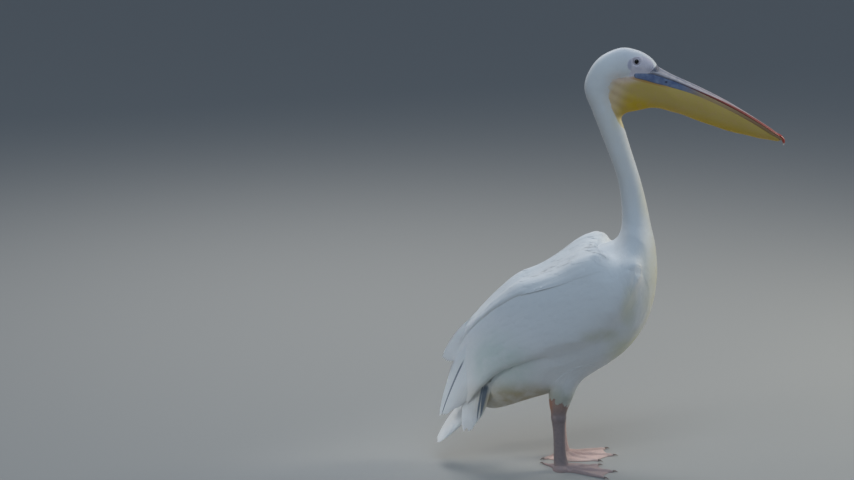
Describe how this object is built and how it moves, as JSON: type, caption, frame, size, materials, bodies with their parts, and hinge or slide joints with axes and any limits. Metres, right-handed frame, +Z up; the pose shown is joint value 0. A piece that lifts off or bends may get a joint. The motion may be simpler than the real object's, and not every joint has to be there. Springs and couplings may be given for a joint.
{
  "type": "great white pelican",
  "caption": "Life-size standing great white pelican with long bill and throat pouch, neck raised, wings folded, on flat webbed feet.",
  "frame": {"origin": "middle of the footprint box, on the floor under the soles", "axes": "+X the way the bird faces, +Y its left side, +Z up"},
  "size_m": [0.8869, 0.2892, 1.1085],
  "materials": {
    "plumage": "dense white feathers, satin",
    "pouch_skin": "thin yellow bare skin, slightly glossy",
    "horn_blue": "blue-grey bill horn, semi-matt",
    "horn_grey": "grey to pinkish bill horn, semi-matt",
    "nail_red": "red horn, smooth",
    "leg_skin": "greyish pink scaly skin, matt",
    "claw_horn": "dark brown horn",
    "eye": "very dark, wet gloss"
  },
  "bodies": {
    "root": {"trunk": "plumage", "neck_lower": "plumage", "neck_middle": "plumage", "neck_upper": "plumage", "head": "plumage", "wing_L": "plumage", "wing_R": "plumage", "tertials_L": "plumage", "tertials_R": "plumage", "secondaries_L": "plumage", "secondaries_R": "plumage", "primaries_L": "plumage", "primaries_R": "plumage", "tail": "plumage", "thigh_L": "plumage", "thigh_R": "plumage", "pouch": "pouch_skin", "bill_lower": "horn_blue", "bill_upper": "horn_grey", "bill_nail": "nail_red", "shank_L": "leg_skin", "shank_R": "leg_skin", "foot_L": "leg_skin", "foot_R": "leg_skin", "claw_hallux_L": "claw_horn", "claw_hallux_R": "claw_horn", "claw_inner_L": "claw_horn", "claw_inner_R": "claw_horn", "claw_middle_L": "claw_horn", "claw_middle_R": "claw_horn", "claw_outer_L": "claw_horn", "claw_outer_R": "claw_horn", "eye_L": "eye", "eye_R": "eye"}
  },
  "joints": []
}
